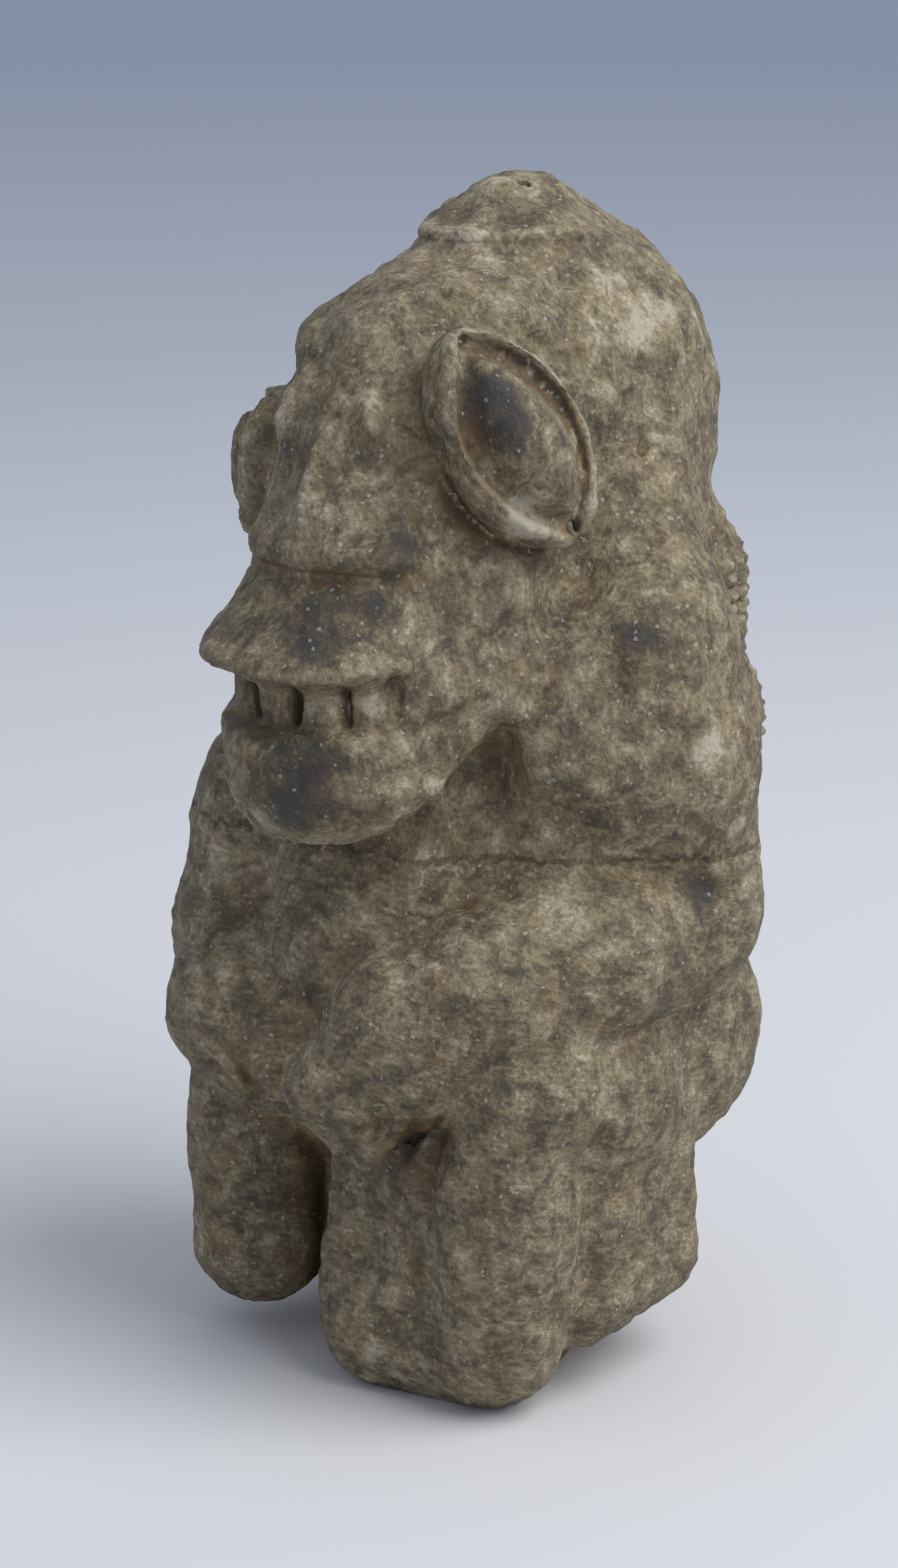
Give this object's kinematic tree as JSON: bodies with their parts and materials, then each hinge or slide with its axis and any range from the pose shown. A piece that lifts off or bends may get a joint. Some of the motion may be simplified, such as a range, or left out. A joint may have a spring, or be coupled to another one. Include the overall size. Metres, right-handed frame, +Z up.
{
  "type": "crouching stone figure",
  "caption": "Hand-carved soapstone figure crouching with folded arms, with a large projecting head, bulging almond eyes, bared teeth and a flat underside.",
  "frame": {"origin": "middle of the footprint, on the surface that the figure stands on", "axes": "+Z up, the face looks towards -Y, the figure's left side is at +X"},
  "size_m": [0.1073, 0.1184, 0.2253],
  "materials": {
    "stone": "weathered grey-brown soapstone with ochre dirt in the recesses, matt with a slight polish on the high places"
  },
  "bodies": {
    "root": {"figure": "stone"}
  },
  "joints": []
}
